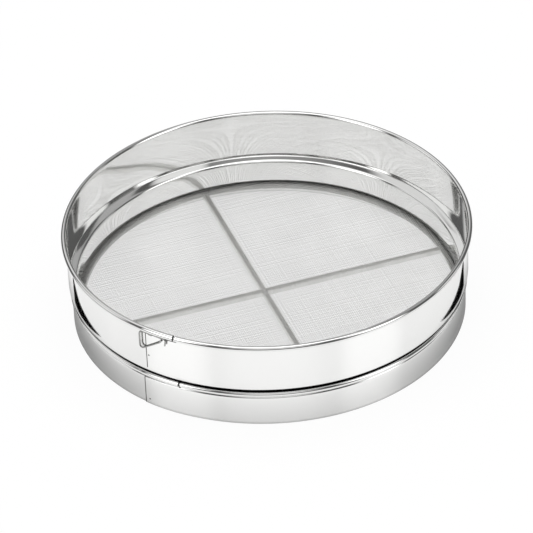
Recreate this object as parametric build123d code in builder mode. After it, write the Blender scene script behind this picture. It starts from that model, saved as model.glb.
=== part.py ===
from build123d import *
import math
import os

# Tamis drum sieve. Millimetres, +Z up. The origin is at the centre of the circle that
# the base hoop stands on, and the hanging loop is on the -Y side.

# Overall size
outer_diameter = 300.0
overall_height = 71.0

# Sheet steel stock and the fits between pieces
sheet_thickness = 0.6
press_gap = 0.05
bead_wire_gap = 0.25
cut_overrun = 2.0

# Drum hoop: rolled rim, tall wall, ledge, and foot that presses on the cloth
rim_bead_diameter = 3.9
rim_curl_angle = 298.0
ledge_clearance = 2.0
ledge_rise = 2.8
ledge_bend_radius = 1.5
foot_curl_diameter = 3.5
foot_curl_angle = 250.0

# Lap seams of the two hoops
drum_seam_angle = 268.0
base_seam_angle = 266.15
lap_angle = 9.0
lap_skin = 0.25
lap_skin_root_angle = 120.0
weld_dot_diameter = 1.4
weld_dot_depth = 0.2
drum_weld_angle = 268.9
drum_weld_height = 46.0
base_weld_angle = 267.7
base_weld_height = 4.3

# Base hoop: straight wall with a rolled bead at its top
base_set_in = 2.0
base_bead_diameter = 4.0
base_bead_height = 26.0
base_bead_inset = 0.6
base_lean_drop = 1.4
base_bend_radius = 1.0
base_curl_end_angle = -62.0

# Screen cloth: a net with the weight of the woven cloth, in fewer and larger gaps
cloth_wire_diameter = 0.3
cloth_wire_spacing = 1.376
cloth_underside_height = 10.9
cloth_lip_height = 2.0
net_pitch = 15.2
weave_angle = 53.2

# Support ring under the edge of the cloth
ring_flange_width = 7.6
ring_thickness = 0.7
ring_lip_height = 2.9
ring_foot_clearance = 3.0
ring_bend_radius = 0.8

# Two channel bars under the cloth, half-lapped where they cross
bar_width = 4.0
bar_height = 4.0
bar_thickness = 0.6
bar_bend_radius = 0.6
bar_lap_gap = 0.1
upper_bar_angle = 143.3
lower_bar_angle = 53.4
crossing_x = -3.5
crossing_y = -1.3

# Hanging loop of bent wire, and the crimp under the rim that holds its upper leg
loop_wire_diameter = 1.2
loop_length = 22.8
loop_drop = 17.1
loop_wall_gap = 0.1
loop_bead_gap = 0.15
loop_top_bend_radius = 3.2
loop_low_bend_radius = 2.1
loop_elbow_radius = 1.4
loop_tail_bend_radius = 1.4
crimp_length = 3.0
crimp_thickness = 0.35
crimp_gap = 0.08
crimp_end_angle = -130.0

# Corners of the loop: shares of its length along the drum and of its drop below the upper leg
loop_tail_end_shares = (0.535, 0.32)
loop_tail_corner_shares = (0.58, 0.0)
loop_top_corner_shares = (-0.42, 0.0)
loop_low_corner_shares = (-0.42, 1.0)
loop_elbow_shares = (0.35, 0.245)
loop_apex_shares = (0.42, 0.09)

# Radii and heights that follow from the sizes above
outer_radius = outer_diameter / 2
rim_bead_radius = rim_bead_diameter / 2
rim_circle_radius = outer_radius - rim_bead_radius
rim_height = overall_height - rim_bead_radius
drum_inner_radius = outer_radius - rim_bead_diameter
drum_outer_radius = drum_inner_radius + sheet_thickness
base_outer_radius = drum_outer_radius - base_set_in
base_inner_radius = base_outer_radius - sheet_thickness
base_bead_radius = base_bead_diameter / 2
base_circle_radius = base_outer_radius - base_bead_inset
base_bend_height = base_bead_height - base_bead_radius - base_lean_drop
ledge_foot_height = base_bead_height + base_bead_radius + ledge_clearance
ledge_top_height = ledge_foot_height + ledge_rise
cloth_thickness = 2 * cloth_wire_diameter
cloth_top_height = cloth_underside_height + cloth_thickness
cloth_outer_radius = base_inner_radius - press_gap
lip_inner_radius = cloth_outer_radius - cloth_thickness
foot_curl_radius = foot_curl_diameter / 2
foot_inner_radius = lip_inner_radius - press_gap - foot_curl_diameter
ring_outer_radius = base_inner_radius - press_gap
ring_inner_radius = ring_outer_radius - ring_flange_width
bar_end_radius = ring_inner_radius - press_gap
loop_wire_radius = loop_wire_diameter / 2
loop_axis_radius = drum_outer_radius + sheet_thickness + loop_wall_gap + loop_wire_radius
loop_axis_height = rim_height - rim_bead_radius - lap_skin - loop_bead_gap - loop_wire_radius


def radial_plane(angle):
    """The upright plane through the Z axis at an angle, with local x outwards and local y up."""
    turn = math.radians(angle)
    outward = (math.cos(turn), math.sin(turn), 0)
    return Plane(origin=(0, 0, 0), x_dir=outward, z_dir=(math.sin(turn), -math.cos(turn), 0))


def wall_plane(angle, radius, height):
    """The plane that touches a hoop's outer wall at an angle and height, facing outwards."""
    turn = math.radians(angle)
    outward = (math.cos(turn), math.sin(turn), 0)
    origin = (radius * math.cos(turn), radius * math.sin(turn), height)
    return Plane(origin=origin, x_dir=(-math.sin(turn), math.cos(turn), 0), z_dir=outward)


def bar_plane(angle):
    """The cross-section plane of a bar at the crossing, with local y up from the bar's top face."""
    turn = math.radians(angle)
    along = (math.cos(turn), math.sin(turn), 0)
    origin = (crossing_x, crossing_y, cloth_underside_height)
    return Plane(origin=origin, x_dir=(-math.sin(turn), math.cos(turn), 0), z_dir=along)


def on_circle(radius, angle):
    """A point on a circle about the Z axis."""
    turn = math.radians(angle)
    return (radius * math.cos(turn), radius * math.sin(turn))


def lap_step(wall_radius, seam_angle, height):
    """The outer sheet of a lap seam, from above: a full sheet thick at the seam, eased off to nothing."""
    mid_angle = seam_angle + lap_angle / 2
    end_angle = seam_angle + lap_angle
    root_radius = wall_radius - sheet_thickness / 2
    with BuildSketch(Plane.XY.offset(height)) as step:
        with BuildLine():
            seam_foot = on_circle(root_radius, seam_angle)
            seam_top = on_circle(wall_radius + sheet_thickness, seam_angle)
            ease_end = on_circle(wall_radius, end_angle)
            ease_root = on_circle(root_radius, end_angle)
            Line(seam_foot, seam_top)
            ThreePointArc(seam_top, on_circle(wall_radius + sheet_thickness / 2, mid_angle), ease_end)
            Line(ease_end, ease_root)
            ThreePointArc(ease_root, on_circle(root_radius, mid_angle), seam_foot)
        make_face()
    return step.sketch


def lap_bead_skin(seam_angle, bead_centre, bead_radius, curl_end_angle):
    """The second sheet that wraps a bead along a lap seam, in section, rooted in the bead's own sheet."""
    skin_width = lap_skin + sheet_thickness / 2
    with BuildSketch(radial_plane(seam_angle)) as skin:
        with BuildLine():
            skin_mid = bead_radius + lap_skin - skin_width / 2
            CenterArc(bead_centre, skin_mid, lap_skin_root_angle, curl_end_angle - lap_skin_root_angle)
        trace(line_width=skin_width)
    return skin.sketch


# Drum hoop
with BuildPart() as drum_hoop:
    rim_centre = (rim_circle_radius, rim_height)
    rim_curl_mid = rim_bead_radius - sheet_thickness / 2
    foot_centre = (foot_inner_radius + foot_curl_radius, cloth_top_height + foot_curl_radius)
    foot_curl_mid = foot_curl_radius - sheet_thickness / 2
    foot_wall_mid = foot_inner_radius + sheet_thickness / 2
    drum_wall_mid = drum_inner_radius + sheet_thickness / 2
    with BuildSketch(Plane.XZ):
        with BuildLine():
            CenterArc(foot_centre, foot_curl_mid, 180, foot_curl_angle)
            FilletPolyline(
                (foot_wall_mid, foot_centre[1]),
                (foot_wall_mid, ledge_foot_height),
                (drum_wall_mid, ledge_top_height),
                (drum_wall_mid, rim_height),
                radius=ledge_bend_radius,
            )
            CenterArc(rim_centre, rim_curl_mid, 180, -rim_curl_angle)
        trace(line_width=sheet_thickness)
    revolve(axis=Axis.Z)

    lap_bottom = ledge_top_height + ledge_bend_radius
    lap_top = rim_height - rim_bead_radius
    extrude(lap_step(drum_outer_radius, drum_seam_angle, lap_bottom), amount=lap_top - lap_bottom)
    rim_skin = lap_bead_skin(drum_seam_angle, rim_centre, rim_bead_radius, 180 - rim_curl_angle)
    revolve(rim_skin, axis=Axis.Z, revolution_arc=lap_angle)

    # The crimp hangs from the bead and closes under the loop's upper leg
    with BuildSketch(radial_plane(270)):
        with BuildLine():
            crimp_mid = loop_wire_radius + crimp_gap + crimp_thickness / 2
            CenterArc((loop_axis_radius, loop_axis_height), crimp_mid, 90, crimp_end_angle - 90)
        trace(line_width=crimp_thickness)
    extrude(amount=crimp_length / 2, both=True)

    with BuildSketch(wall_plane(drum_weld_angle, drum_outer_radius + sheet_thickness, drum_weld_height)):
        Circle(weld_dot_diameter / 2)
    extrude(amount=-weld_dot_depth, both=True, mode=Mode.SUBTRACT)

# Wire inside the rolled rim
with BuildPart() as rim_wire:
    with BuildSketch(Plane.XZ):
        with Locations((rim_circle_radius, rim_height)):
            Circle(rim_bead_radius - sheet_thickness - bead_wire_gap)
    revolve(axis=Axis.Z)

# Base hoop
with BuildPart() as base_hoop:
    base_wall_mid = base_outer_radius - sheet_thickness / 2
    base_curl_mid = base_bead_radius - sheet_thickness / 2
    bend_point = (base_wall_mid, base_bend_height)
    bead_centre = (base_circle_radius, base_bead_height)
    # The wall leans in from the bend to touch the bead's inner side, then rolls over and out
    reach = math.hypot(bead_centre[0] - bend_point[0], bead_centre[1] - bend_point[1])
    toward_bead = math.degrees(math.atan2(bead_centre[1] - bend_point[1], bead_centre[0] - bend_point[0]))
    touch_angle = toward_bead + 90 + math.degrees(math.asin(base_curl_mid / reach))
    touch_x = base_circle_radius + base_curl_mid * math.cos(math.radians(touch_angle))
    touch_z = base_bead_height + base_curl_mid * math.sin(math.radians(touch_angle))
    with BuildSketch(Plane.XZ):
        with BuildLine():
            FilletPolyline(
                (base_wall_mid, 0),
                bend_point,
                (touch_x, touch_z),
                radius=base_bend_radius,
            )
            CenterArc(bead_centre, base_curl_mid, touch_angle, base_curl_end_angle - touch_angle)
        trace(line_width=sheet_thickness)
    revolve(axis=Axis.Z)

    extrude(lap_step(base_outer_radius, base_seam_angle, 0), amount=base_bend_height - base_bend_radius)
    base_skin = lap_bead_skin(base_seam_angle, bead_centre, base_bead_radius, base_curl_end_angle)
    revolve(base_skin, axis=Axis.Z, revolution_arc=lap_angle)

    with BuildSketch(wall_plane(base_weld_angle, base_outer_radius + sheet_thickness, base_weld_height)):
        Circle(weld_dot_diameter / 2)
    extrude(amount=-weld_dot_depth, both=True, mode=Mode.SUBTRACT)

# Wire inside the base hoop's bead
with BuildPart() as base_wire:
    with BuildSketch(Plane.XZ):
        with Locations((base_circle_radius, base_bead_height)):
            Circle(base_bead_radius - sheet_thickness - bead_wire_gap)
    revolve(axis=Axis.Z)

# Screen cloth: a flat net with its edge turned up between the drum's foot and the base hoop
with BuildPart() as screen_cloth:
    with BuildSketch(Plane.XY.offset(cloth_underside_height)):
        steel_share = math.pi * cloth_wire_diameter**2 / (2 * cloth_wire_spacing * cloth_thickness)
        strand_width = net_pitch * (1 - math.sqrt(1 - steel_share))
        strand_pairs = int(ring_inner_radius / net_pitch)
        Circle(cloth_outer_radius)
        Circle(ring_inner_radius, mode=Mode.SUBTRACT)
        for strand_turn in (weave_angle, weave_angle + 90):
            with Locations(Location((0, 0), strand_turn)):
                with GridLocations(0, net_pitch, 1, 2 * strand_pairs + 1):
                    Rectangle(2 * ring_inner_radius, strand_width)
        Circle(cloth_outer_radius, mode=Mode.INTERSECT)
    extrude(amount=cloth_thickness)
    with BuildSketch(Plane.XY.offset(cloth_underside_height)):
        Circle(cloth_outer_radius)
        Circle(lip_inner_radius, mode=Mode.SUBTRACT)
    extrude(amount=cloth_thickness + cloth_lip_height)

# Support ring: a flange under the cloth, a leg inside the base hoop and a short lip at its inner edge
with BuildPart() as support_ring:
    flange_mid_height = cloth_underside_height - ring_thickness / 2
    leg_mid_radius = ring_outer_radius - ring_thickness / 2
    lip_mid_radius = ring_inner_radius + ring_thickness / 2
    with BuildSketch(Plane.XZ):
        with BuildLine():
            FilletPolyline(
                (lip_mid_radius, cloth_underside_height - ring_lip_height),
                (lip_mid_radius, flange_mid_height),
                (leg_mid_radius, flange_mid_height),
                (leg_mid_radius, ring_foot_clearance),
                radius=ring_bend_radius,
            )
        trace(line_width=ring_thickness)
    revolve(axis=Axis.Z)


def channel_section(angle):
    """The section of a downward-opening channel bar at the crossing."""
    side = bar_width / 2 - bar_thickness / 2
    with BuildSketch(bar_plane(angle)) as section:
        with BuildLine():
            FilletPolyline(
                (-side, -bar_height),
                (-side, -bar_thickness / 2),
                (side, -bar_thickness / 2),
                (side, -bar_height),
                radius=bar_bend_radius,
            )
        trace(line_width=bar_thickness)
    return section.sketch


def lap_window(passing_angle, high, low):
    """The half-lap notch as the passing bar sees it, between two depths below the bars' top face."""
    with BuildSketch(bar_plane(passing_angle)) as window:
        with Locations((0, -(high + low) / 2)):
            Rectangle(bar_width + 2 * bar_lap_gap, low - high)
    return window.sketch


def bar_trim():
    """The disc inside the ring's lip that the bars' ends are cut to."""
    with BuildSketch(Plane.XY.offset(cloth_underside_height - bar_height)) as disc:
        Circle(bar_end_radius)
    return disc.sketch


# Bar whose top face runs through at the crossing
with BuildPart() as upper_cross_bar:
    extrude(channel_section(upper_bar_angle), amount=outer_radius, both=True)
    extrude(bar_trim(), amount=bar_height, mode=Mode.INTERSECT)
    passing_window = lap_window(lower_bar_angle, bar_height / 2 - bar_lap_gap / 2, bar_height + cut_overrun)
    extrude(passing_window, amount=bar_width, both=True, mode=Mode.SUBTRACT)

# Bar that is notched from above to let the other one through
with BuildPart() as lower_cross_bar:
    extrude(channel_section(lower_bar_angle), amount=outer_radius, both=True)
    extrude(bar_trim(), amount=bar_height, mode=Mode.INTERSECT)
    passing_window = lap_window(upper_bar_angle, -cut_overrun, bar_height / 2 + bar_lap_gap / 2)
    extrude(passing_window, amount=bar_width, both=True, mode=Mode.SUBTRACT)


def loop_point(shares):
    """A corner of the hanging loop in its own plane, from its shares of the loop's length and drop."""
    return (shares[0] * loop_length, loop_axis_height - shares[1] * loop_drop)


# Hanging loop: one bent wire, its lower leg ending against the upper leg beside the tail
with BuildPart() as hanging_loop:
    loop_plane = Plane(origin=(0, -loop_axis_radius, 0), x_dir=(1, 0, 0), z_dir=(0, -1, 0))
    with BuildLine(loop_plane) as loop_path:
        FilletPolyline(
            loop_point(loop_tail_end_shares),
            loop_point(loop_tail_corner_shares),
            loop_point(loop_top_corner_shares),
            loop_point(loop_low_corner_shares),
            loop_point(loop_elbow_shares),
            loop_point(loop_apex_shares),
            radius=[loop_tail_bend_radius, loop_top_bend_radius, loop_low_bend_radius, loop_elbow_radius],
        )
    with BuildSketch(Plane(origin=loop_path.line @ 0, z_dir=loop_path.line % 0)):
        Circle(loop_wire_radius)
    sweep(path=loop_path.line)
    apex_cut = loop_path.line @ 1
    with BuildSketch(Plane(origin=apex_cut, z_dir=(0, 0, 1))):
        Circle(loop_wire_radius)
    extrude(amount=loop_axis_height - apex_cut.Z)

parts = {
    "drum_hoop": drum_hoop,
    "rim_wire": rim_wire,
    "base_hoop": base_hoop,
    "base_wire": base_wire,
    "screen_cloth": screen_cloth,
    "support_ring": support_ring,
    "upper_cross_bar": upper_cross_bar,
    "lower_cross_bar": lower_cross_bar,
    "hanging_loop": hanging_loop,
}

os.makedirs("parts", exist_ok=True)
for name, piece in parts.items():
    piece.part.label = name
    export_step(piece.part, f"parts/{name}.step")
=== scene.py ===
"""Tamis drum sieve: bright stainless hoops, woven wire cloth, support ring, crossed bars and hanging loop.

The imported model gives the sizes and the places. Everything here is in metres, in the row's own frame: +Z up,
the hanging loop on the -Y side. The camera stands where the photograph was taken from.
"""

import logging
import math
from collections.abc import Callable, Sequence
from dataclasses import dataclass
from enum import Enum

import bpy
import numpy as np
from mathutils import Matrix, Vector


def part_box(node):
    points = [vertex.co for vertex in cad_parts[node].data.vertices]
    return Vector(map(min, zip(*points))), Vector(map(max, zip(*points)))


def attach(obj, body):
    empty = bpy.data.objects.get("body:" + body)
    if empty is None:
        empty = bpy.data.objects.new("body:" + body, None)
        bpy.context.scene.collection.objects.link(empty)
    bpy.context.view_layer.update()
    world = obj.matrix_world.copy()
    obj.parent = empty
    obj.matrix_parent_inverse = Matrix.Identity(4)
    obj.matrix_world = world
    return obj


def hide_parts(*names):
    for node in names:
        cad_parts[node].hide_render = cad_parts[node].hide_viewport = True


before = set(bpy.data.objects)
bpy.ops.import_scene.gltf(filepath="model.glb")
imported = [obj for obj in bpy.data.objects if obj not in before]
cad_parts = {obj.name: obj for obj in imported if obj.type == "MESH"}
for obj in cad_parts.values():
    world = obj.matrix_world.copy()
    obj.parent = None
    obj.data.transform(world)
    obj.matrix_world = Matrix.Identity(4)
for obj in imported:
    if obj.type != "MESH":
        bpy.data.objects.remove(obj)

MM = 0.001
SIEVE = "sieve"
LOOP = "loop"
LOG = logging.getLogger("sieve")
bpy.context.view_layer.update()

Piece = bpy.types.Object
Material = bpy.types.Material
Tree = bpy.types.NodeTree
Node = bpy.types.Node
Socket = bpy.types.NodeSocket
Array = np.ndarray
Pair = tuple[float, float]

WHITE = (1, 1, 1, 1)
# Edges that turn more sharply than this stay sharp, on sheet and at the ends of wire
SHARP_TURN = math.radians(35)
CAP_TURN = math.radians(40)
# The values of the grain's and the haze's noise between which they take effect
GRAIN_BAND = (0.3, 0.7)
HAZE_BAND = (0.35, 0.75)
COLOUR_BAND = (0.3, 0.8)
# Painted shade in crevices: how open a place is where the shade is full and where it has faded out, and how
# much of the colour it leaves at those two places
PAINTED_SHADE_BAND = (0.3, 0.66)
PAINTED_SHADE_SHARE = (0.03, 1.0)


class Coordinates(Enum):
    """What a pattern on a surface follows."""

    ALONG_SHEET = "UV"
    IN_SPACE = "Object"


def linear(hex_colour: str) -> tuple[float, float, float, float]:
    """Turn an sRGB hex colour into the linear colour that a shader takes.

    Args:
        hex_colour: Six hex digits, such as "d8d8d6".

    Returns:
        Red, green, blue and an alpha of 1.
    """
    parts = [int(hex_colour[place : place + 2], 16) / 255 for place in (0, 2, 4)]
    red, green, blue = (c / 12.92 if c <= 0.04045 else ((c + 0.055) / 1.055) ** 2.4 for c in parts)
    return red, green, blue, 1.0


def add_node(tree: Tree, kind: str, inputs: dict | Sequence = (), **options: object) -> Node:
    """Add one node with its settings and links.

    Args:
        tree: The node tree that it goes into.
        kind: Blender's name for the node, without its ShaderNode prefix.
        inputs: What goes into its sockets, by name or in their order: values, sockets, or nodes, whose first
            output is meant.
        **options: Its other settings.

    Returns:
        The new node.
    """
    node = tree.nodes.new("ShaderNode" + kind)
    for name, value in options.items():
        setattr(node, name, value)
    for key, value in inputs.items() if isinstance(inputs, dict) else enumerate(inputs):
        source = value.outputs[0] if isinstance(value, Node) else value
        if isinstance(source, Socket):
            tree.links.new(source, node.inputs[key])
        else:
            node.inputs[key].default_value = source
    return node


def new_material(name: str) -> tuple[Material, Tree]:
    """Make an empty node material.

    Args:
        name: The finish's name.

    Returns:
        The material and its node tree.
    """
    material = bpy.data.materials.new(name)
    material.use_nodes = True
    material.node_tree.nodes.clear()
    return material, material.node_tree


@dataclass(frozen=True)
class SteelFinish:
    """A stainless steel surface: its colour, how rough it is, and the lines and haze that working it left.

    The grain is a noise drawn out along one direction, from rolling, drawing or brushing. It changes the
    roughness and tilts the surface a little, so that highlights break up into fine lines. The haze is a soft
    noise at the size of a thumb, from handling and uneven pressure. Within the painted shade reach of other
    surfaces, an ambient occlusion mask darkens the colour: painted shade in crevices.
    """

    name: str
    colour: str
    dark_colour: str
    roughness: float
    grain_roughness: float
    grain_width: float
    grain_length: float
    grain_depth: float
    haze_size: float
    haze_roughness: float
    follows: Coordinates = Coordinates.IN_SPACE
    grain_turn: float = 0.0
    # How near other surfaces must be for painted shade to darken the colour; none if zero
    painted_shade_reach: float = 0.0

    def build(self) -> Material:
        """Make the material."""
        material, tree = new_material(self.name)
        place = add_node(tree, "TexCoord").outputs[self.follows.value]
        turned = add_node(tree, "Mapping", {"Vector": place, "Rotation": (0, 0, -self.grain_turn)})
        across = 1 / self.grain_width
        along = 1 / self.grain_length
        drawn_out = add_node(tree, "Mapping", {"Vector": turned, "Scale": (along, across, across)})
        grain = add_node(tree, "TexNoise", {"Vector": drawn_out, "Scale": 1.0, "Detail": 3.0})
        smears = {"Vector": place, "Scale": 1 / self.haze_size, "Detail": 2.0, "Roughness": 0.45}
        haze = add_node(tree, "TexNoise", smears)
        low = self.roughness - self.grain_roughness / 2
        high = self.roughness + self.grain_roughness / 2
        grain_rough = add_node(tree, "MapRange", (grain, *GRAIN_BAND, low, high))
        haze_rough = add_node(tree, "MapRange", (haze, *HAZE_BAND, 0.0, self.haze_roughness))
        rough = add_node(tree, "Math", (grain_rough, haze_rough), operation="ADD")
        bump = add_node(tree, "Bump", {"Height": grain, "Strength": 1.0, "Distance": self.grain_depth})
        skin = self.skin(tree, haze)
        look = {"Metallic": 1.0, "Base Color": skin, "Roughness": rough, "Normal": bump}
        add_node(tree, "OutputMaterial", {"Surface": add_node(tree, "BsdfPrincipled", look)})
        return material

    def skin(self, tree: Tree, haze: Node) -> Node:
        """Colour the steel by its haze, and paint shade into its crevices.

        Args:
            tree: The material's node tree.
            haze: The haze's noise.

        Returns:
            The node that gives the colour.
        """
        tint = add_node(tree, "ValToRGB", {"Fac": haze})
        colours = (self.colour, self.dark_colour)
        for stop, place, colour in zip(tint.color_ramp.elements, COLOUR_BAND, colours):
            stop.position = place
            stop.color = linear(colour)
        if not self.painted_shade_reach:
            return tint
        # Painted shade: an ambient occlusion mask darkens the colour in crevices
        openness = add_node(tree, "AmbientOcclusion", {"Distance": self.painted_shade_reach}, samples=12)
        crevice_shade = add_node(tree, "MapRange", (openness.outputs["AO"], *PAINTED_SHADE_BAND, *PAINTED_SHADE_SHARE))
        return add_node(tree, "VectorMath", {0: tint, "Scale": crevice_shade}, operation="SCALE")


# Bright annealed stainless sheet, rolled between polished rolls: it reflects almost like a mirror, with very
# fine lines along the hoop and faint haze, so that reflections stay clear but their edges are soft.
HOOP_SHEET = SteelFinish(
    name="bright_rolled_stainless_sheet",
    colour="f8f8f7",
    dark_colour="f2f2f1",
    roughness=0.05,
    grain_roughness=0.03,
    grain_width=0.35 * MM,
    grain_length=60 * MM,
    grain_depth=0.0015 * MM,
    haze_size=28 * MM,
    haze_roughness=0.03,
    follows=Coordinates.ALONG_SHEET,
    # Painted shade darkens the sheet's colour in its crevices, such as the groove between the hoops
    painted_shade_reach=6 * MM,
)

# Drawn stainless wire, woven plain: each wire has a soft lengthwise highlight and dull sides.
WOVEN_WIRE = SteelFinish(
    name="woven_stainless_wire",
    colour="e9e9e7",
    dark_colour="dcdcda",
    roughness=0.4,
    grain_roughness=0.06,
    grain_width=0.2 * MM,
    grain_length=0.2 * MM,
    grain_depth=0.002 * MM,
    haze_size=24 * MM,
    haze_roughness=0.06,
)

# Cold-rolled sheet with a dull skin, which shows only a blurred image of what is round it. Its colour is
# darker than the hoops': partly that skin, partly painted shade for the shadow under the cloth.
SHADED_RING_SHEET = SteelFinish(
    name="cold_rolled_sheet_in_painted_shade",
    # Dark grey: partly painted shade for the shadow under the cloth
    colour="9a9a98",
    dark_colour="868684",
    roughness=0.26,
    grain_roughness=0.08,
    grain_width=0.4 * MM,
    grain_length=0.4 * MM,
    grain_depth=0.004 * MM,
    haze_size=18 * MM,
    haze_roughness=0.08,
)

# Bar and spring wire, drawn bright: a narrow highlight on a darker grey.
DRAWN_WIRE = SteelFinish(
    name="drawn_stainless_wire",
    colour="b4b4b2",
    dark_colour="9c9c9a",
    roughness=0.16,
    grain_roughness=0.05,
    grain_width=0.15 * MM,
    grain_length=3 * MM,
    grain_depth=0.002 * MM,
    haze_size=6 * MM,
    haze_roughness=0.05,
)

# The sheared edge of a sheet: torn and dull. Its dark colour is partly painted shade, for the shadow in the
# gap at the lap, so that it draws a dark line.
EDGE_AND_GAP_SHADE = SteelFinish(
    name="sheared_edge_and_gap_shade",
    colour="6a6a68",
    dark_colour="4a4a48",
    roughness=0.45,
    grain_roughness=0.2,
    grain_width=0.1 * MM,
    grain_length=0.5 * MM,
    grain_depth=0.01 * MM,
    haze_size=4 * MM,
    haze_roughness=0.1,
)


def bar_finish(name: str, turn: float) -> SteelFinish:
    """The satin skin of a folded channel bar, with its grain along the bar.

    Args:
        name: The finish's name.
        turn: The bar's angle in the row's frame, in degrees.

    Returns:
        The finish.
    """
    return SteelFinish(
        name=name,
        colour="ececea",
        dark_colour="dcdcd9",
        roughness=0.28,
        grain_roughness=0.1,
        grain_width=0.3 * MM,
        grain_length=14 * MM,
        grain_depth=0.004 * MM,
        haze_size=9 * MM,
        haze_roughness=0.08,
        grain_turn=math.radians(turn),
    )


def to_mode(mode: str) -> None:
    """Put the active object into one mode."""
    bpy.ops.object.mode_set(mode=mode)


def begin(operator: Callable, **settings: object) -> Piece:
    """Deselect everything and add one primitive, ready to be shaped.

    Args:
        operator: The primitive's operator.
        **settings: Its size and place.

    Returns:
        The new object.
    """
    if bpy.context.object and bpy.context.object.mode != "OBJECT":
        to_mode("OBJECT")
    bpy.ops.object.select_all(action="DESELECT")
    operator(**settings)
    return bpy.context.object


def settle(piece: Piece, name: str) -> None:
    """Give a shaped piece its name and put its place into its mesh, so that it sits at the origin.

    Args:
        piece: The piece, still active.
        name: Its name.
    """
    if bpy.context.object.mode != "OBJECT":
        to_mode("OBJECT")
    piece.name = name
    piece.data.name = name
    bpy.ops.object.transform_apply()


def pick(*pieces: Piece) -> None:
    """Select nothing but some pieces.

    Args:
        *pieces: The pieces. The first becomes the active one.
    """
    bpy.ops.object.select_all(action="DESELECT")
    for piece in pieces:
        piece.select_set(True)
    bpy.context.view_layer.objects.active = pieces[0]


def delete_faces(piece: Piece, doomed: Sequence) -> None:
    """Delete some faces of the active piece.

    Args:
        piece: The piece.
        doomed: For each face, whether it goes.
    """
    to_mode("EDIT")
    bpy.ops.mesh.select_mode(type="FACE")
    bpy.ops.mesh.select_all(action="DESELECT")
    to_mode("OBJECT")
    piece.data.polygons.foreach_set("select", doomed)
    to_mode("EDIT")
    bpy.ops.mesh.delete(type="FACE")
    to_mode("OBJECT")


def thicken(piece: Piece, sheet: float, even: bool = False, rim_finish: int = 0) -> None:
    """Give an open surface the thickness of its sheet, faces that point outwards and smooth shading.

    Args:
        piece: The active piece.
        sheet: The sheet's thickness, half of it on each side.
        even: Whether bends keep the full thickness.
        rim_finish: How many places further in the list of finishes the rim's finish is.
    """
    wall = piece.modifiers.new("thickness", "SOLIDIFY")
    wall.thickness = sheet
    wall.offset = 0.0
    wall.use_even_offset = even
    wall.material_offset_rim = rim_finish
    bpy.ops.object.modifier_apply(modifier=wall.name)
    to_mode("EDIT")
    bpy.ops.mesh.select_all(action="SELECT")
    bpy.ops.mesh.normals_make_consistent(inside=False)
    to_mode("OBJECT")
    bpy.ops.object.shade_smooth_by_angle(angle=SHARP_TURN)


def dress(piece: Piece, finishes: list[Material], body: str, node: str) -> None:
    """Give a piece its finishes, its body and the node that it stands for.

    Args:
        piece: The finished object.
        finishes: Its materials, in the order that its faces number them.
        body: The body that it rides on.
        node: The CAD node that it replaces.
    """
    for finish in finishes[len(piece.data.materials) :]:
        piece.data.materials.append(finish)
    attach(piece, body)
    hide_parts(node)
    LOG.info("%s: %d faces on %s", piece.name, len(piece.data.polygons), body)


def coordinates(piece: Piece) -> Array:
    """Read a mesh's vertices.

    Args:
        piece: The object.

    Returns:
        Its vertices as an array of points.
    """
    flat = np.empty(len(piece.data.vertices) * 3)
    piece.data.vertices.foreach_get("co", flat)
    return flat.reshape(-1, 3)


def set_coordinates(piece: Piece, points: Array) -> None:
    """Write a mesh's vertices from an array of points."""
    piece.data.vertices.foreach_set("co", points.ravel())
    piece.data.update()


def towards(bearing: float, rise: float = 0.0) -> Vector:
    """The direction at a bearing from +X and a rise above the horizon, both in radians."""
    level = math.cos(rise)
    return Vector((level * math.cos(bearing), level * math.sin(bearing), math.sin(rise)))


def smooth_step(share: Array) -> Array:
    """Ease shares from 0 to 1 in and out, and hold them outside that range."""
    held = np.clip(share, 0.0, 1.0)
    return held * held * (3 - 2 * held)


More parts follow.
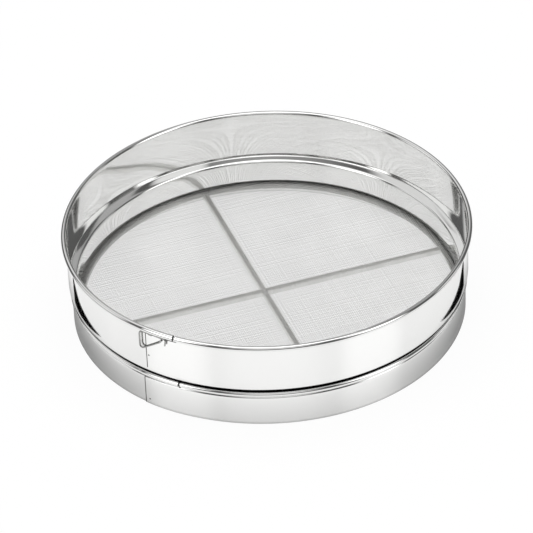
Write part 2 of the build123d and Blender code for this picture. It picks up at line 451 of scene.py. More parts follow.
class SectionPen:
    """Draws the section of a sheet as a chain of edges in the XZ plane, one extrusion after another."""

    def __init__(self, start: Pair) -> None:
        """Put down the first point: a small plane, merged to one vertex.

        Args:
            start: Its radius and height.
        """
        begin(bpy.ops.mesh.primitive_plane_add, size=1 * MM, location=(start[0], 0, start[1]))
        bpy.ops.object.transform_apply()
        to_mode("EDIT")
        bpy.ops.mesh.select_mode(type="VERT")
        bpy.ops.mesh.select_all(action="SELECT")
        bpy.ops.mesh.merge(type="CENTER")
        self.points = [Vector((start[0], 0, start[1]))]

    def to(self, x: float, z: float, steps: int = 1) -> None:
        """Extrude a straight run.

        Args:
            x: Radius at its end.
            z: Height at its end.
            steps: How many edges it has.
        """
        stride = (Vector((x, 0, z)) - self.points[-1]) / steps
        for _ in range(steps):
            bpy.ops.mesh.extrude_vertices_move(TRANSFORM_OT_translate={"value": stride})
            self.points.append(self.points[-1] + stride)

    def around(self, centre: Pair, radius: float, start: float, sweep: float, steps: int) -> None:
        """Extrude along an arc.

        Args:
            centre: Radius and height of the arc's centre.
            radius: The arc's own radius.
            start: Its first angle in degrees, where the pen already is.
            sweep: How far it turns, in degrees.
            steps: How many edges it has.
        """
        for step in range(1, steps + 1):
            angle = math.radians(start + sweep * step / steps)
            self.to(centre[0] + radius * math.cos(angle), centre[1] + radius * math.sin(angle))

    def bent(self, corner: Pair, end: Pair, radius: float, steps: int) -> None:
        """Run to a rounded corner and round it, towards a further point.

        Args:
            corner: Where the two straight runs would meet.
            end: A point on the run after the corner.
            radius: The bend's radius.
            steps: How many edges the bend has.
        """
        sharp = Vector((corner[0], 0, corner[1]))
        back = (self.points[-1] - sharp).normalized()
        onward = (Vector((end[0], 0, end[1])) - sharp).normalized()
        half = back.angle(onward) / 2
        reach = radius / math.tan(half)
        first = sharp + back * reach
        last = sharp + onward * reach
        middle = sharp + (back + onward).normalized() * (radius / math.sin(half))
        self.to(first.x, first.z, steps=4)
        start = math.atan2(first.z - middle.z, first.x - middle.x)
        turn = math.atan2(last.z - middle.z, last.x - middle.x) - start
        turn = (turn + math.pi) % (2 * math.pi) - math.pi
        self.around((middle.x, middle.z), radius, math.degrees(start), math.degrees(turn), steps)

    def lengths(self, points: Array) -> Array:
        """How far along the section each of some vertices lies.

        Args:
            points: Radius and height of each vertex, in any order.

        Returns:
            Each one's distance along the section, in metres.
        """
        drawn = np.array([(p.x, p.z) for p in self.points])
        steps = np.hypot(*np.diff(drawn, axis=0).T)
        along = np.concatenate([[0.0], np.cumsum(steps)])
        nearest = ((points[:, None, :] - drawn[None, :, :]) ** 2).sum(2).argmin(1)
        return along[nearest]


@dataclass
class RolledHoop:
    """A hoop of thin sheet, lapped at its seam, with its upper edge rolled outwards into a bead.

    The strip starts at the lap edge, lies outside its own other end there, and goes once round and a little
    further. The bead belongs to the inner layer, because rolling the edge outwards brings that layer outside.
    """

    name: str
    node: str
    seam_turn: float
    joint_turn: float
    bead_centre: Pair
    bead_radius: float
    lap_low: float
    lap_high: float
    wall_radius: float
    weld_spot: Pair
    wave_span: Pair
    wave_depth: float
    sheet: float = 0.6 * MM
    lap_fade: float = 20.0
    lap_stand: float = 0.62 * MM
    bead_swell: float = 0.22 * MM
    swell_ramp: float = 2.5
    # The width in degrees of the strip at the lap's edge that takes the dark edge finish, partly painted shade
    edge_strip: float = 0.3
    weld_radius: float = 0.7 * MM
    # How proud the spot weld is of the sheet, as a share of its radius, and how deep it sits in it
    weld_height_share: float = 0.14
    weld_depth: float = 0.02 * MM
    stations: int = 540
    # The unevenness goes round this often, this strongly and from this phase, and leans over this far
    waves: tuple[tuple[int, float, float], ...] = (
        (5, 0.6, 0.3),
        (9, 0.5, 1.7),
        (14, 0.4, 4.1),
        (23, 0.22, 2.6),
    )
    wave_lean: float = 2.4

    def draw_section(self) -> SectionPen:
        """Draw the sheet's middle line. Each kind of hoop has its own."""
        raise NotImplementedError

    def build(self, finishes: list[Material]) -> None:
        """Model the hoop and dress it.

        Args:
            finishes: The sheet's finish and that of its cut edges, whose dark colour is partly painted shade.
        """
        pen = self.draw_section()
        step_turn = 360 / self.stations
        extra = round((self.joint_turn - self.seam_turn) / step_turn)
        steps = self.stations + extra
        bpy.ops.mesh.select_all(action="SELECT")
        sweep = -math.radians(step_turn * steps)
        bpy.ops.mesh.spin(steps=steps, angle=sweep, center=(0, 0, 0), axis=(0, 0, 1))
        to_mode("OBJECT")
        piece = bpy.context.object
        count = len(piece.data.vertices) // (steps + 1)
        points = coordinates(piece)
        station = np.arange(len(points)) // count
        section = points[:count, [0, 2]]
        radius = np.tile(section[:, 0], steps + 1)
        height = np.tile(section[:, 1], steps + 1)
        turn = np.where(station == 1, self.edge_strip, station * step_turn)
        along = np.tile(pen.lengths(section), steps + 1)
        self.write_sheet_map(piece, np.radians(turn) * self.wall_radius, along)
        radius, height = self.form(radius, height, turn)
        angle = np.radians(self.seam_turn + turn)
        set_coordinates(piece, np.column_stack([radius * np.cos(angle), radius * np.sin(angle), height]))
        for finish in finishes:
            piece.data.materials.append(finish)
        self.trim_lap(piece, station, extra, height)
        thicken(piece, self.sheet, even=True, rim_finish=1)
        self.add_weld_spot(piece, *self.weld_spot)
        settle(piece, self.name)
        dress(piece, finishes, SIEVE, self.node)

    def write_sheet_map(self, piece: Piece, around: Array, along: Array) -> None:
        """Give the strip a UV map in metres.

        Args:
            piece: The strip.
            around: How far round the hoop each vertex lies.
            along: How far along the section it lies.
        """
        layer = piece.data.uv_layers.new(name="sheet")
        corners = np.empty(len(piece.data.loops), dtype=int)
        piece.data.loops.foreach_get("vertex_index", corners)
        layer.data.foreach_set("uv", np.column_stack([around[corners], along[corners]]).ravel())

    def form(self, radius: Array, height: Array, turn: Array) -> tuple[Array, Array]:
        """Leave the strip as rolling does: thicker at the bead's joint, lifted at the lap and a little wavy.

        Args:
            radius: Radius of each vertex.
            height: Height of each vertex.
            turn: Degrees of each vertex from the lap's edge.

        Returns:
            The new radii and heights.
        """
        # Past the full turn, the second layer is rolled up inside the bead
        out = radius - self.bead_centre[0]
        up = height - self.bead_centre[1]
        rolled = np.hypot(out, up) < self.bead_radius
        swelling = smooth_step((turn - 360 + self.swell_ramp) / self.swell_ramp)
        scale = np.where(rolled, 1 + self.bead_swell * swelling / self.bead_radius, 1.0)
        radius = np.where(rolled, self.bead_centre[0] + out * scale, radius)
        height = np.where(rolled, self.bead_centre[1] + up * scale, height)
        # The outer layer stands off the hoop's own radius, from its lap edge on
        fade = 1 - smooth_step(turn / self.lap_fade)
        rise = smooth_step((height - self.lap_low) / (2 * self.sheet) + 1)
        fall = smooth_step((self.lap_high - height) / (2 * self.sheet) + 1)
        lift = self.lap_stand * fade * rise * fall
        # Rolled sheet is slightly uneven, but not at its stiff edges, and that bends what it reflects
        low, high = self.wave_span
        share = np.clip((height - low) / (high - low), 0, 1)
        wave = np.zeros_like(height)
        for number, size, phase in self.waves:
            lean = self.wave_lean * share * np.cos(number + phase)
            wave += size * np.sin(np.radians(turn) * number + phase + lean)
        return radius + lift + self.wave_depth * wave * np.sin(np.pi * share) ** 2, height

    def trim_lap(self, piece: Piece, station: Array, extra: int, height: Array) -> None:
        """Give the lap's edge its dark finish, partly painted shade, and delete the outer layer's foot and
        bead.

        Only the inner layer has these along the lap. The bead starts one station later, so that the rolled
        layer's end shows as a notch.

        Args:
            piece: The whole strip.
            station: For each vertex, which section round the hoop it belongs to.
            extra: How many stations the lap has.
            height: Height of each vertex.
        """
        faces = [list(face.vertices) for face in piece.data.polygons]
        # The narrow strip at the lap's edge takes the dark edge finish: partly painted shade for the gap there
        piece.data.polygons.foreach_set("material_index", [int(station[face].max() == 1) for face in faces])
        doomed = (station < extra) & (height < self.lap_low)
        doomed |= (station < extra + 1) & (height > self.lap_high)
        delete_faces(piece, np.array([doomed[face].any() for face in faces]))

    def add_weld_spot(self, piece: Piece, turn: float, height: float) -> None:
        """Press one spot weld into the lap: a low dull button, a little proud of the sheet.

        Args:
            piece: The finished strip.
            turn: Degrees from the lap's edge.
            height: Its height above the ground.
        """
        angle = math.radians(self.seam_turn + turn)
        reach = self.wall_radius + self.lap_stand - self.weld_depth
        spot = begin(
            bpy.ops.mesh.primitive_uv_sphere_add,
            segments=16,
            ring_count=8,
            radius=self.weld_radius,
            location=(reach * math.cos(angle), reach * math.sin(angle), height),
            rotation=(0, 0, angle),
        )
        spot.scale = (self.weld_height_share, 1, 1)
        bpy.ops.object.transform_apply(location=False)
        bpy.ops.object.shade_smooth()
        for finish in piece.data.materials:
            spot.data.materials.append(finish)
        spot.data.polygons.foreach_set("material_index", [1] * len(spot.data.polygons))
        pick(piece, spot)
        bpy.ops.object.join()


@dataclass
class DrumHoop(RolledHoop):
    """The tall upper hoop: rim bead, wall, ledge, lower wall and the foot that presses on the cloth."""

    rim_curl: float = 298.0
    wall_inner: float = 0.0
    ledge_low: float = 30.0 * MM
    ledge_rise: float = 1.7 * MM
    ledge_bend: float = 1.5 * MM
    shoulder_bend: float = 1.0 * MM
    foot_radius: float = 1.75 * MM
    foot_curl: float = 250.0
    foot_inner: float = 0.0
    foot_bottom: float = 11.5 * MM

    def draw_section(self) -> SectionPen:
        """Draw from the end of the foot's curl up to the end of the rim's curl.

        Returns:
            The pen that drew it.
        """
        half = self.sheet / 2
        foot_centre = (self.foot_inner + self.foot_radius, self.foot_bottom + self.foot_radius)
        foot_mid = self.foot_radius - half
        last = math.radians(180 + self.foot_curl)
        start = (foot_centre[0] + foot_mid * math.cos(last), foot_centre[1] + foot_mid * math.sin(last))
        lower = self.foot_inner + half
        upper = self.wall_inner + half
        ledge_high = self.ledge_low + self.ledge_rise
        bead_height = self.bead_centre[1]
        pen = SectionPen(start)
        pen.around(foot_centre, foot_mid, 180 + self.foot_curl, -self.foot_curl, steps=16)
        pen.bent((lower, self.ledge_low), (upper, ledge_high), self.ledge_bend, steps=5)
        pen.bent((upper, ledge_high), (upper, bead_height), self.shoulder_bend, steps=10)
        pen.to(upper, self.lap_high, steps=16)
        pen.to(upper, bead_height)
        pen.around(self.bead_centre, self.bead_radius - half, 180, -self.rim_curl, steps=26)
        return pen


@dataclass
class BaseHoop(RolledHoop):
    """The lower hoop that the sieve stands on: a plain edge below, a lean and a bead above."""

    bend_height: float = 22.6 * MM
    bend_radius: float = 1.0 * MM
    curl_end: float = -62.0

    def draw_section(self) -> SectionPen:
        """Draw from the plain edge up, in to the bead's inner side and round it.

        Returns:
            The pen that drew it.
        """
        wall_mid = self.wall_radius - self.sheet / 2
        curl_mid = self.bead_radius - self.sheet / 2
        across = self.bead_centre[0] - wall_mid
        up = self.bead_centre[1] - self.bend_height
        reach = math.hypot(across, up)
        touch = math.degrees(math.atan2(up, across)) + 90 + math.degrees(math.asin(curl_mid / reach))
        touch_x = self.bead_centre[0] + curl_mid * math.cos(math.radians(touch))
        touch_z = self.bead_centre[1] + curl_mid * math.sin(math.radians(touch))
        pen = SectionPen((wall_mid, 0.0))
        pen.to(wall_mid, self.bend_height / 2, steps=5)
        pen.bent((wall_mid, self.bend_height), (touch_x, touch_z), self.bend_radius, steps=4)
        pen.to(touch_x, touch_z, steps=2)
        pen.around(self.bead_centre, curl_mid, touch, self.curl_end - touch, steps=22)
        return pen


@dataclass
class WireCloth:
    """Plain-woven wire cloth, modelled wire over wire at its real spacing.

    One patch of two wires each way is modelled and repeated over a quarter of the disc. The quarter is turned
    about the middle of a gap, which carries the weave over onto itself.
    """

    radius: float
    middle: float
    spacing: float = 1.376 * MM
    wire: float = 0.3 * MM
    turn: float = math.radians(53.2)
    spread: float = 0.45
    # The rate, size and two phases of the sine whose digits shift the wires
    scatter_rate: float = 12.9898
    scatter_size: float = 43758.5453
    scatter_phases: Pair = (0.0, 2.0)
    sag: float = 0.18 * MM
    sag_length: float = 62 * MM
    # The sag's two waves, each with its rate and phase, and where it ends: shares of the disc's radius
    sag_waves: tuple[Pair, ...] = ((2.0, 0.7), (2.6, 1.9))
    sag_edge: float = 0.6
    sag_fade: float = 0.3

    def wire_patch(self) -> Piece:
        """Model two wires each way, crossing over and under.

        Returns:
            The wires as one object in the XY plane.
        """
        lift = self.wire / 2
        wires = []
        for lengthwise in (True, False):
            for row in (0, 1):
                over = (row == 0) == lengthwise
                wires.append(self.one_wire(row, lengthwise, lift if over else -lift))
        pick(*wires)
        bpy.ops.object.join()
        return wires[0]

    def one_wire(self, row: int, lengthwise: bool, lift: float) -> Piece:
        """Model one wire across the patch, from half a space before the first crossing.

        Args:
            row: Which of the two wires this is.
            lengthwise: Whether it runs along X, or else along Y.
            lift: Its height at the patch's first crossing; it has the opposite height one crossing on.

        Returns:
            The wire, an open square tube of two lengths.
        """
        wire = begin(
            bpy.ops.mesh.primitive_cylinder_add,
            vertices=4,
            radius=self.wire / 2,
            depth=self.spacing,
            end_fill_type="NOTHING",
            rotation=(0, math.pi / 2, 0),
        )
        bpy.ops.object.transform_apply()
        side = (row + 0.5) * self.spacing
        points = coordinates(wire)
        first = points[:, 0] < 0
        points[:, 2] += np.where(first, -lift, lift)
        set_coordinates(wire, points)
        to_mode("EDIT")
        bpy.ops.mesh.select_all(action="DESELECT")
        bpy.ops.mesh.select_mode(type="VERT")
        to_mode("OBJECT")
        wire.data.vertices.foreach_set("select", ~first)
        to_mode("EDIT")
        bpy.ops.mesh.extrude_edges_move(TRANSFORM_OT_translate={"value": (self.spacing, 0, -2 * lift)})
        to_mode("OBJECT")
        points = coordinates(wire)
        if lengthwise:
            set_coordinates(wire, points + np.array([0, side, 0]))
            return wire
        set_coordinates(wire, points[:, [1, 0, 2]] + np.array([side, 0, 0]))
        to_mode("EDIT")
        bpy.ops.mesh.select_all(action="SELECT")
        bpy.ops.mesh.flip_normals()
        to_mode("OBJECT")
        return wire

    def quarter(self) -> Piece:
        """Repeat the patch over a quarter of the disc.

        Returns:
            The quarter, trimmed to the disc's edge.
        """
        piece = self.wire_patch()
        count = math.ceil(self.radius / (2 * self.spacing)) + 1
        for axis in (0, 1):
            row = piece.modifiers.new("repeat", "ARRAY")
            row.count = count
            row.use_relative_offset = False
            row.use_constant_offset = True
            row.constant_offset_displace = [2 * self.spacing * (axis == 0), 2 * self.spacing * (axis == 1), 0]
            row.use_merge_vertices = True
            row.merge_threshold = self.wire / 20
            bpy.ops.object.modifier_apply(modifier=row.name)
        flat = np.empty(len(piece.data.polygons) * 3)
        piece.data.polygons.foreach_get("center", flat)
        # Whole lengths of wire go, by where their middle lies
        half = self.spacing / 2
        middle = np.round(flat.reshape(-1, 3)[:, :2] / half) * half
        delete_faces(piece, np.hypot(middle[:, 0], middle[:, 1]) > self.radius)
        to_mode("EDIT")
        for normal in ((1, 0, 0), (0, 1, 0)):
            bpy.ops.mesh.select_all(action="SELECT")
            bpy.ops.mesh.bisect(plane_co=(0, 0, 0), plane_no=normal, clear_inner=True, use_fill=False)
        bpy.ops.mesh.select_all(action="SELECT")
        bpy.ops.mesh.fill_holes(sides=4)
        to_mode("OBJECT")
        return piece

    def settle_wires(self, points: Array) -> Array:
        """Move the wires off their even spacing, let the cloth sag a little, and turn it to its place.

        Each wire's shift is the digits of a sine after its point, as even as chance and the same in each run.

        Args:
            points: A quarter's vertices in the cloth's own directions.

        Returns:
            The same vertices in the row's frame.
        """
        moved = points.copy()
        for axis, phase in enumerate(self.scatter_phases):
            line = np.floor(points[:, axis] / self.spacing)
            scatter = np.sin(line * self.scatter_rate + phase) * self.scatter_size
            shift = scatter - np.floor(scatter) - 0.5
            shift[np.abs(points[:, axis]) < self.wire / 50] = 0.0
            moved[:, axis] += self.spread * self.spacing * shift
        reach = np.hypot(points[:, 0], points[:, 1]) / self.radius
        free = 1 - smooth_step((reach - self.sag_edge) / self.sag_fade)
        swell = np.zeros(len(points))
        for axis, (rate, phase) in enumerate(self.sag_waves):
            swell += np.sin(points[:, axis] / self.sag_length * rate + phase)
        moved[:, 2] += self.middle + self.sag * free * swell / 2
        cosine, sine = math.cos(self.turn), math.sin(self.turn)
        turned_x = moved[:, 0] * cosine - moved[:, 1] * sine
        turned_y = moved[:, 0] * sine + moved[:, 1] * cosine
        return np.column_stack([turned_x, turned_y, moved[:, 2]])

    def build(self, material: Material) -> None:
        """Model the four quarters of the cloth and dress them.

        Args:
            material: The wire's finish.
        """
        first = self.quarter()
        pattern = coordinates(first)
        for number in range(4):
            if number:
                pick(first)
                bpy.ops.object.duplicate()
            piece = bpy.context.object
            turned = pattern.copy()
            for _ in range(number):
                turned = turned[:, [1, 0, 2]] * np.array([-1.0, 1.0, 1.0])
            set_coordinates(piece, self.settle_wires(turned))
            bpy.ops.object.shade_smooth()
            settle(piece, f"wire_cloth_quarter_{number + 1}")
            dress(piece, [material], SIEVE, "screen_cloth")


@dataclass
class HangingLoop:
    """One bent wire under the rim: a straight upper leg, a long eye and a short tail."""

    axis_radius: float
    axis_height: float
    wire: float = 1.2 * MM
    length: float = 22.8 * MM
    drop: float = 17.1 * MM
    # The corners of the wire's middle line, from the tail's end to the lower leg's end: how far along the rim
    # and how far down each lies
    corner_shares: tuple[Pair, ...] = (
        (0.535, 0.32),
        (0.58, 0.0),
        (-0.42, 0.0),
        (-0.42, 0.95),
        (0.35, 0.245),
        (0.42, 0.09),
    )
    bends: tuple[float, ...] = (1.4 * MM, 3.2 * MM, 2.1 * MM, 1.4 * MM)
    handle_run: float = 0.2 * MM

    def stops(self) -> list[tuple[Vector, Vector, Vector]]:
        """Round the corners of the wire's middle line.

        Returns:
            The curve's points, each with its two handles: two for each bend, and the wire's two ends.
        """
        corners = [
            Vector((along * self.length, -self.axis_radius, self.axis_height - below * self.drop))
            for along, below in self.corner_shares
        ]
        stops = [(corners[0], corners[0], corners[0])]
        for before, corner, after, bend in zip(corners, corners[1:], corners[2:], self.bends):
            back = (before - corner).normalized()
            onward = (after - corner).normalized()
            half = back.angle(onward) / 2
            reach = bend / math.tan(half)
            # A handle of 4/3 of the tangent of a quarter of the turn makes a cubic curve follow an arc
            hold = reach - bend * 4 / 3 * math.tan((math.pi - 2 * half) / 4)
            beyond = reach + self.handle_run
            stops.append((corner + back * reach, corner + back * beyond, corner + back * hold))
            stops.append((corner + onward * reach, corner + onward * hold, corner + onward * beyond))
        stops.append((corners[-1], corners[-1], corners[-1]))
        return stops

    def build(self, material: Material) -> None:
        """Model the wire as a rounded curve with a round section, and dress it.

        Args:
            material: The wire's finish.
        """
        stops = self.stops()
        piece = begin(bpy.ops.curve.primitive_bezier_curve_add)
        spline = piece.data.splines[0]
        spline.bezier_points.add(len(stops) - 2)
        for point, stop in zip(spline.bezier_points, stops):
            point.handle_left_type = "FREE"
            point.handle_right_type = "FREE"
            point.co, point.handle_left, point.handle_right = stop
        piece.data.dimensions = "3D"
        piece.data.resolution_u = 8
        piece.data.bevel_depth = self.wire / 2
        piece.data.bevel_resolution = 3
        piece.data.use_fill_caps = True
        bpy.ops.object.convert(target="MESH")
        bpy.ops.object.shade_smooth_by_angle(angle=CAP_TURN)
        settle(piece, "wire_loop")
        dress(piece, [material], LOOP, "hanging_loop")


@dataclass
class RimCrimp:
    """The short tab that hangs from the rim bead and closes round the loop's upper leg."""

    axis_radius: float
    axis_height: float
    leg_radius: float = 0.6 * MM
    gap: float = 0.08 * MM
    sheet: float = 0.35 * MM
    length: float = 3.0 * MM
    # Where the tab starts and ends round the leg: degrees above the outward direction
    span: Pair = (-130.0, 92.0)

    def build(self, material: Material) -> None:
        """Model the tab as an open tube and dress it.

        Args:
            material: The tab's finish.
        """
        piece = begin(
            bpy.ops.mesh.primitive_cylinder_add,
            vertices=36,
            radius=self.leg_radius + self.gap + self.sheet / 2,
            depth=self.length,
            end_fill_type="NOTHING",
            location=(0, -self.axis_radius, self.axis_height),
            rotation=(0, math.pi / 2, 0),
        )
        bpy.ops.object.transform_apply()
        open_side = []
        for face in piece.data.polygons:
            outward = -(face.center.y + self.axis_radius)
            angle = math.degrees(math.atan2(face.center.z - self.axis_height, outward))
            open_side.append(angle > self.span[1] or angle < self.span[0])
        delete_faces(piece, open_side)
        thicken(piece, self.sheet)
        settle(piece, "rim_crimp")
        dress(piece, [material], SIEVE, "drum_hoop")


@dataclass(frozen=True)
class Patch:
    """A bright patch of the room that the steel shows.

    Its middle is given in degrees anticlockwise from the camera, seen from above, and degrees above the
    horizon. Its radius and the width over which it fades are in degrees too.
    """

    turn: float
    rise: float
    radius: float
    soft: float
    grey: float

    def brighten(self, tree: Tree, direction: Socket, level: Node, bearing: float) -> Node:
        """Brighten the room round the patch's middle.

        Args:
            tree: The world's node tree.
            direction: The direction looked in.
            level: The node that gives the grey level so far.
            bearing: The camera's own bearing, in radians.

        Returns:
            The node that gives the new grey level.
        """
        middle = towards(bearing + math.radians(self.turn), math.radians(self.rise))
        near = add_node(tree, "VectorMath", (direction, middle), operation="DOT_PRODUCT").outputs["Value"]
        edge = math.cos(math.radians(self.radius))
        full = math.cos(math.radians(self.radius - self.soft))
        span = (near, edge, full, 0.0, self.grey)
        share = add_node(tree, "MapRange", span, interpolation_type="SMOOTHSTEP")
        return add_node(tree, "Math", (level, share), operation="MAXIMUM")


@dataclass
class Studio:
    """White floor, soft light from above and the camera where the photograph was taken."""

    target: tuple[float, float, float] = (-0.98 * MM, -0.69 * MM, 32.8 * MM)
    bearing: float = math.radians(305.08)
    elevation: float = math.radians(35.923)
    distance: float = 2827 * MM
    roll: float = math.radians(-2.457)
    lens: float = 260.1
    sensor: float = 36.0
    sight: Pair = (0.1, 60.0)
    floor_size: float = 14.0
    floor_drop: float = 0.02 * MM
    # How much of the floor's white comes through its shadow, inside and outside the base hoop, for the camera
    # and in the steel
    camera_white: Pair = (0.84, 0.93)
    steel_white: Pair = (1.0, 0.3)
    floor_gloss: float = 0.07
    gloss_roughness: float = 0.06
    # The sieve's own shadow in the steel: the sines of the turns from the camera where it starts to deepen
    # and is full, its depth before and beside the sieve, and the distances from the axis over which it fades
    side_turn: Pair = (0.55, 0.95)
    side_shade: Pair = (0.15, 0.7)
    shade_reach: Pair = (0.148, 0.178)
    # In the steel, the lit table fades into the dark room: from where to where, how far and to which grey
    table_reach: Pair = (0.26, 0.36)
    table_fade: float = 0.9
    dark_grey: float = 0.1
    # From where to where the floor goes from inside to outside the base hoop
    sieve_foot: Pair = (0.1441, 0.1447)
    # Black cards that stand beside the sieve and give its sides their dark lines: distance from the axis, and
    # how far towards the camera and how high each corner is
    card_distance: float = 165 * MM
    card_corners: tuple[Pair, ...] = (
        (-5 * MM, 0.5 * MM),
        (62 * MM, 0.5 * MM),
        (51 * MM, 4 * MM),
        (35 * MM, 9 * MM),
        (18 * MM, 14 * MM),
        (-5 * MM, 28 * MM),
    )
    # How bright the room is for all that isn't steel
    fill: float = 0.72
    softbox_power: float = 14.0
    softbox_size: float = 2.0
    softbox_height: float = 1.7
    # Each patch's turn, rise, radius, softness and grey level
    patches: tuple[Patch, ...] = (
        Patch(-100, 16, 24, 8, 0.9),
        Patch(107, 13, 15, 7, 0.9),
        Patch(-56, 12, 18, 14, 1.9),
        Patch(-56, 36, 20, 14, 1.9),
        Patch(60, 12, 18, 14, 1.9),
        Patch(60, 36, 20, 14, 1.9),
        Patch(-120, 78, 24, 8, 1.4),
        Patch(180, 38, 30, 20, 0.42),
        Patch(-158, 44, 24, 12, 0.75),
        Patch(-120, 56, 22, 10, 0.75),
        Patch(122, 52, 14, 6, 0.42),
        Patch(70, 60, 14, 6, 0.85),
        Patch(0, 36, 28, 20, 0.8),
    )
    # How bright the room looks in the steel: sine of the height above the horizon, and grey level
    room_bands: tuple[Pair, ...] = (
        (0.0, 0.14),
        (0.04, 0.10),
        (0.86, 0.10),
        (0.915, 0.35),
        (0.94, 1.55),
        (1.0, 1.65),
    )

    def camera(self) -> None:
        """Place the camera on the photograph's line of sight."""
        back = towards(self.bearing, self.elevation)
        data = bpy.data.cameras.new("camera")
        data.lens = self.lens
        data.sensor_width = self.sensor
        data.clip_start, data.clip_end = self.sight
        camera = bpy.data.objects.new("camera", data)
        bpy.context.scene.collection.objects.link(camera)
        facing = (-back).to_track_quat("-Z", "Y").to_matrix()
        rolled = facing @ Matrix.Rotation(self.roll, 3, "Z")
        camera.matrix_world = Matrix.Translation(Vector(self.target) + back * self.distance) @ rolled.to_4x4()
        bpy.context.scene.camera = camera

    def floor(self) -> None:
        """Lay the white floor, which takes the soft shadow."""
        material, tree = new_material("white_studio_floor")
        rays = add_node(tree, "LightPath").outputs
        place = add_node(tree, "TexCoord").outputs["Object"]
        reach = add_node(tree, "VectorMath", (place,), operation="LENGTH").outputs["Value"]
        paper = add_node(tree, "BsdfDiffuse", {"Color": linear("fdfdfd")})
        white = add_node(tree, "Emission", {"Color": WHITE, "Strength": 1.0})
        gloss = add_node(tree, "BsdfGlossy", {"Color": WHITE, "Roughness": self.gloss_roughness})
        dark = add_node(tree, "Emission", {"Color": WHITE, "Strength": self.dark_grey})
        shares = []
        for levels, ray in ((self.camera_white, "Is Camera Ray"), (self.steel_white, "Is Glossy Ray")):
            level = add_node(tree, "MapRange", (reach, *self.sieve_foot, *levels))
            shares.append(add_node(tree, "Math", (level, rays[ray]), operation="MULTIPLY"))
        share = add_node(tree, "Math", shares, operation="ADD")
        near = add_node(tree, "MixShader", (share, paper, white))
        sheen = add_node(tree, "Math", (rays["Is Glossy Ray"], self.floor_gloss), operation="MULTIPLY")
        lit = add_node(tree, "MixShader", (sheen, near, gloss))
        darkness = (self.darkness(tree, place, reach), rays["Is Glossy Ray"])
        dim = add_node(tree, "Math", darkness, operation="MULTIPLY")
        shaded = add_node(tree, "MixShader", (dim, lit, dark))
        # From below, the camera looks through the floor at the sieve's underside
        underside = add_node(tree, "NewGeometry").outputs["Backfacing"]
        from_below = add_node(tree, "Math", (underside, rays["Is Camera Ray"]), operation="MULTIPLY")
        surface = add_node(tree, "MixShader", (from_below, shaded, add_node(tree, "BsdfTransparent")))
        add_node(tree, "OutputMaterial", {"Surface": surface})
        drop = (0, 0, -self.floor_drop)
        piece = begin(bpy.ops.mesh.primitive_plane_add, size=self.floor_size, location=drop)
        settle(piece, "floor")
        piece.data.materials.append(material)

    def darkness(self, tree: Tree, place: Socket, reach: Socket) -> Node:
        """How dark the floor is in the steel: far away, and in the sieve's shadow.

        Args:
            tree: The floor's node tree.
            place: The place on the floor.
            reach: Its distance from the sieve's axis.

        Returns:
            The node that gives the darkness.
        """
        span = (reach, *self.table_reach, 0.0, self.table_fade)
        far = add_node(tree, "MapRange", span, interpolation_type="SMOOTHSTEP")
        unit = add_node(tree, "VectorMath", (place,), operation="NORMALIZE")
        sideways = add_node(tree, "VectorMath", (unit, self.aside()), operation="DOT_PRODUCT")
        either = add_node(tree, "Math", (sideways.outputs["Value"],), operation="ABSOLUTE")
        at_sides = add_node(tree, "MapRange", (either, *self.side_turn, *self.side_shade))
        close = add_node(tree, "MapRange", (reach, *self.shade_reach, 1.0, 0.0))
        beside = add_node(tree, "Math", (at_sides, close), operation="MULTIPLY")
        outside = add_node(tree, "Math", (reach, self.sieve_foot[0]), operation="GREATER_THAN")
        shadow = add_node(tree, "Math", (beside, outside), operation="MULTIPLY")
        return add_node(tree, "Math", (far, shadow), operation="MAXIMUM")

    def aside(self) -> Vector:
        """The level direction to the camera's right."""
        return Vector((-math.sin(self.bearing), math.cos(self.bearing), 0))

    def cards(self) -> None:
        """Stand a black card on each side of the sieve, which only its steel shows."""
        material, tree = new_material("black_card")
        card = add_node(tree, "BsdfDiffuse", {"Color": linear("0a0a0a")})
        add_node(tree, "OutputMaterial", {"Surface": card})
        ahead = towards(self.bearing)
        for side, name in ((-1, "black_card_left"), (1, "black_card_right")):
            corners = len(self.card_corners)
            piece = begin(bpy.ops.mesh.primitive_circle_add, vertices=corners, fill_type="NGON")
            aside = self.aside() * side * self.card_distance
            points = [aside + ahead * forward + Vector((0, 0, up)) for forward, up in self.card_corners]
            set_coordinates(piece, np.array(points))
            settle(piece, name)
            piece.data.materials.append(material)
            piece.visible_camera = False
            piece.visible_diffuse = False
            piece.visible_shadow = False

    def room(self) -> None:
        """Light the scene from all round: white for the camera, bands and patches of light in the steel."""
        world = bpy.data.worlds.new("studio")
        bpy.context.scene.world = world
        world.use_nodes = True
        tree = world.node_tree
        tree.nodes.clear()
        direction = add_node(tree, "TexCoord").outputs["Generated"]
        height = add_node(tree, "SeparateXYZ", (direction,)).outputs["Z"]
        level = add_node(tree, "ValToRGB", {"Fac": height})
        stops = level.color_ramp.elements
        for place, _ in self.room_bands[1:-1]:
            stops.new(place)
        for stop, (place, grey) in zip(stops, self.room_bands):
            stop.position = place
            stop.color = (grey, grey, grey, 1)
        for patch in self.patches:
            level = patch.brighten(tree, direction, level, self.bearing)
        rays = add_node(tree, "LightPath").outputs
        even = add_node(tree, "Background", {"Color": WHITE, "Strength": self.fill})
        seen = add_node(tree, "Background", {"Color": WHITE, "Strength": 1.0})
        steel = add_node(tree, "Background", {"Color": level, "Strength": 1.0})
        unseen = add_node(tree, "MixShader", (rays["Is Glossy Ray"], even, steel))
        surface = add_node(tree, "MixShader", (rays["Is Camera Ray"], unseen, seen))
        add_node(tree, "OutputWorld", {"Surface": surface})

    def softbox(self) -> None:
        """Hang one large soft lamp above the sieve."""
        data = bpy.data.lights.new("softbox", "AREA")
        data.shape = "SQUARE"
        data.size = self.softbox_size
        data.energy = self.softbox_power
        lamp = bpy.data.objects.new("softbox", data)
        lamp.location = (0, 0, self.softbox_height)
        lamp.visible_glossy = False
        bpy.context.scene.collection.objects.link(lamp)

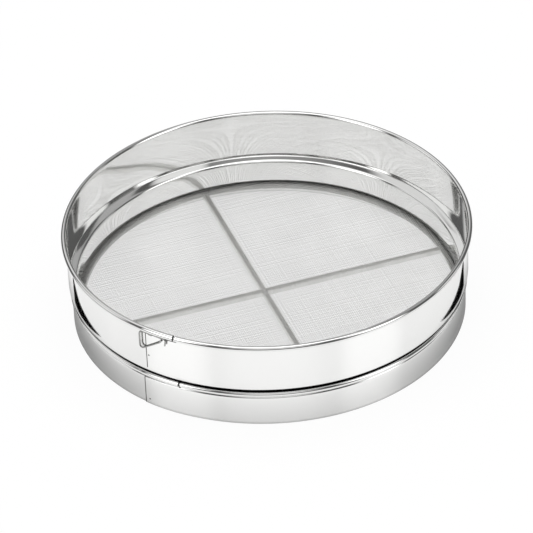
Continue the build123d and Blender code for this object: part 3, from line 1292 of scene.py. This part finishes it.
    def build(self) -> None:
        """Set up the camera, the floor and the light."""
        bpy.context.scene.view_settings.view_transform = "Standard"
        self.camera()
        self.floor()
        self.cards()
        self.room()
        self.softbox()


@dataclass
class Sieve:
    """The whole object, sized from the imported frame's own boxes."""

    sheet: float = 0.6 * MM
    rim_bead: float = 1.95 * MM
    base_bead: float = 2.0 * MM
    # What stays free above each bead for the swelling at its joint, and outside the drum for its waviness
    swell_room: float = 0.25 * MM
    wave_room: float = 0.005 * MM
    cloth_reach: float = 142.6 * MM
    cloth_half: float = 0.3 * MM
    # Where the loop's axis lies
    loop_radius: float = 148.0 * MM
    loop_height: float = 66.1 * MM
    bar_turns: Pair = (143.3, 53.4)

    def drum(self) -> DrumHoop:
        """Size the upper hoop from its node.

        Returns:
            The hoop, not yet built.
        """
        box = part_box("drum_hoop")
        bead = self.rim_bead
        outer = box[1].x - self.wave_room
        top = box[1].z - self.swell_room
        inner = outer - 2 * bead
        return DrumHoop(
            name="drum_sheet",
            node="drum_hoop",
            seam_turn=268.0,
            joint_turn=277.0,
            bead_centre=(outer - bead, top - bead),
            bead_radius=bead,
            lap_low=32.8 * MM,
            lap_high=top - 2 * bead - 0.1 * MM,
            wall_radius=inner + self.sheet,
            wall_inner=inner,
            foot_inner=outer - 10.1 * MM,
            weld_spot=(0.87, 46.0 * MM),
            wave_span=(33.0 * MM, 67.0 * MM),
            wave_depth=0.05 * MM,
        )

    def base(self) -> BaseHoop:
        """Size the lower hoop from its node.

        Returns:
            The hoop, not yet built.
        """
        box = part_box("base_hoop")
        bead = self.base_bead
        outer = box[1].x
        top = box[1].z - self.swell_room
        return BaseHoop(
            name="base_sheet",
            node="base_hoop",
            seam_turn=266.15,
            joint_turn=277.25,
            bead_centre=(outer - bead, top - bead),
            bead_radius=bead,
            lap_low=-1.0 * MM,
            lap_high=23.9 * MM,
            wall_radius=outer - bead + self.sheet,
            weld_spot=(1.52, 4.3 * MM),
            wave_span=(-24.0 * MM, 22.0 * MM),
            wave_depth=0.03 * MM,
        )

    def build(self) -> None:
        """Build and dress every piece in order."""
        sheet = HOOP_SHEET.build()
        edge = EDGE_AND_GAP_SHADE.build()
        self.drum().build([sheet, edge])
        self.base().build([sheet, edge])
        wire = WOVEN_WIRE.build()
        cloth_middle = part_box("screen_cloth")[0].z + self.cloth_half
        WireCloth(radius=self.cloth_reach, middle=cloth_middle).build(wire)
        loop_wire = DRAWN_WIRE.build()
        HangingLoop(axis_radius=self.loop_radius, axis_height=self.loop_height).build(loop_wire)
        RimCrimp(axis_radius=self.loop_radius, axis_height=self.loop_height).build(loop_wire)
        finishes = {
            "support_ring": SHADED_RING_SHEET.build(),
            "upper_cross_bar": bar_finish("satin_channel_upper", self.bar_turns[0]).build(),
            "lower_cross_bar": bar_finish("satin_channel_lower", self.bar_turns[1]).build(),
        }
        for node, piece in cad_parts.items():
            piece.data.materials.clear()
            piece.data.materials.append(finishes.get(node, loop_wire))


def main() -> None:
    """Build the studio and the sieve, and report each piece."""
    logging.basicConfig(level=logging.INFO, format="%(name)s %(message)s")
    Studio().build()
    Sieve().build()


if __name__ == "__main__":
    main()
